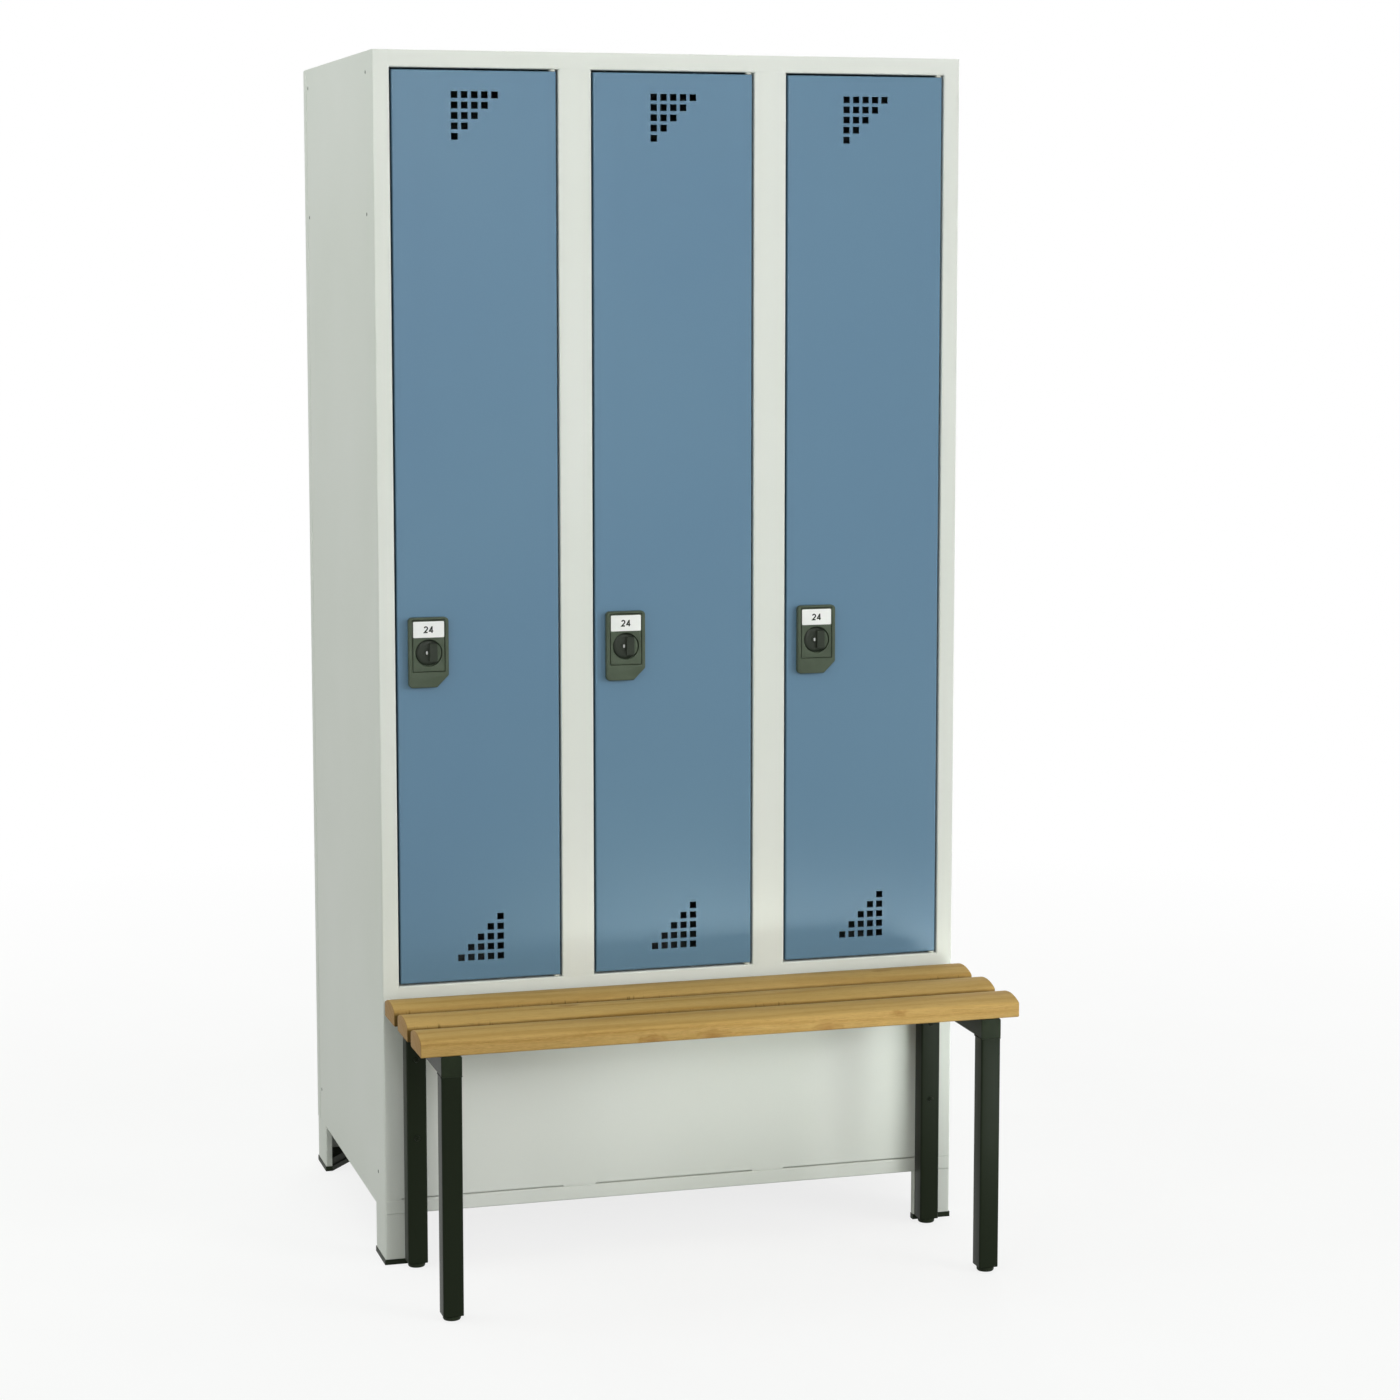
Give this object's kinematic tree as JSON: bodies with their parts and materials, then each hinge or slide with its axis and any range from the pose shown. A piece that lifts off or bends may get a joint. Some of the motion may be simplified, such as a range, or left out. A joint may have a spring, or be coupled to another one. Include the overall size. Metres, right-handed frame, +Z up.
{
  "type": "locker with bench",
  "caption": "Steel clothes locker with side by side compartments behind vented hinged doors with turn locks, on feet, and a slatted wooden bench bolted in front of its base.",
  "frame": {"origin": "on the floor, in the middle of the footprint of locker and bench together", "axes": "+X to the right along the front, +Y from the bench towards the back of the locker, +Z up"},
  "size_m": [0.9016, 0.886, 1.8],
  "materials": {
    "body_paint": "light grey powder coat, satin",
    "door_paint": "pigeon blue powder coat, satin",
    "bench_paint": "dark grey-green powder coat, satin",
    "slat_wood": "clear lacquered hardwood, fine straight grain",
    "black_plastic": "moulded, fine texture",
    "zinc_steel": "bright zinc plated"
  },
  "bodies": {
    "root": {"left_side_panel": "body_paint", "right_side_panel": "body_paint", "left_corner_post": "body_paint", "right_corner_post": "body_paint", "rear_panel": "body_paint", "top_panel": "body_paint", "compartment_floor": "body_paint", "top_rail": "body_paint", "lower_front_panel": "body_paint", "bottom_rail": "body_paint", "mullion_1": "body_paint", "mullion_2": "body_paint", "partition_1": "body_paint", "partition_2": "body_paint", "hat_shelf_1": "body_paint", "hat_shelf_2": "body_paint", "hat_shelf_3": "body_paint", "coat_rail_1": "zinc_steel", "coat_rail_2": "zinc_steel", "coat_rail_3": "zinc_steel", "foot_front_left": "body_paint", "foot_rear_left": "body_paint", "foot_front_right": "body_paint", "foot_rear_right": "body_paint", "foot_cap_front_left": "black_plastic", "foot_cap_rear_left": "black_plastic", "foot_cap_front_right": "black_plastic", "foot_cap_rear_right": "black_plastic", "bench_slat_rear": "slat_wood", "bench_slat_middle": "slat_wood", "bench_slat_front": "slat_wood", "bench_rail_left": "bench_paint", "bench_rail_right": "bench_paint", "bench_leg_front_left": "bench_paint", "bench_leg_rear_left": "bench_paint", "bench_leg_front_right": "bench_paint", "bench_leg_rear_right": "bench_paint", "bench_glide_front_left": "black_plastic", "bench_glide_rear_left": "black_plastic", "bench_glide_front_right": "black_plastic", "bench_glide_rear_right": "black_plastic"},
    "door_leaf_1": {"door_1": "door_paint", "hinge_pin_top_1": "zinc_steel", "hinge_pin_bottom_1": "zinc_steel", "lock_housing_1": "black_plastic"},
    "door_leaf_2": {"door_2": "door_paint", "hinge_pin_top_2": "zinc_steel", "hinge_pin_bottom_2": "zinc_steel", "lock_housing_2": "black_plastic"},
    "door_leaf_3": {"door_3": "door_paint", "hinge_pin_top_3": "zinc_steel", "hinge_pin_bottom_3": "zinc_steel", "lock_housing_3": "black_plastic"},
    "latch_1": {"lock_knob_1": "black_plastic", "lock_cam_1": "zinc_steel"},
    "latch_2": {"lock_knob_2": "black_plastic", "lock_cam_2": "zinc_steel"},
    "latch_3": {"lock_knob_3": "black_plastic", "lock_cam_3": "zinc_steel"}
  },
  "joints": [
    {"name": "door_hinge_1", "type": "hinge", "parent": "root", "child": "door_leaf_1", "pos_m": [-0.183, -0.152, 1.1], "axis": [0, 0, 1], "range_deg": [0, 105]},
    {"name": "door_hinge_2", "type": "hinge", "parent": "root", "child": "door_leaf_2", "pos_m": [0.117, -0.152, 1.1], "axis": [0, 0, 1], "range_deg": [0, 105]},
    {"name": "door_hinge_3", "type": "hinge", "parent": "root", "child": "door_leaf_3", "pos_m": [0.417, -0.152, 1.1], "axis": [0, 0, 1], "range_deg": [0, 105]},
    {"name": "lock_turn_1", "type": "hinge", "parent": "door_leaf_1", "child": "latch_1", "pos_m": [-0.377, -0.157, 0.9245], "axis": [0, 1, 0], "range_deg": [0, 90]},
    {"name": "lock_turn_2", "type": "hinge", "parent": "door_leaf_2", "child": "latch_2", "pos_m": [-0.077, -0.157, 0.9245], "axis": [0, 1, 0], "range_deg": [0, 90]},
    {"name": "lock_turn_3", "type": "hinge", "parent": "door_leaf_3", "child": "latch_3", "pos_m": [0.223, -0.157, 0.9245], "axis": [0, 1, 0], "range_deg": [0, 90]}
  ]
}
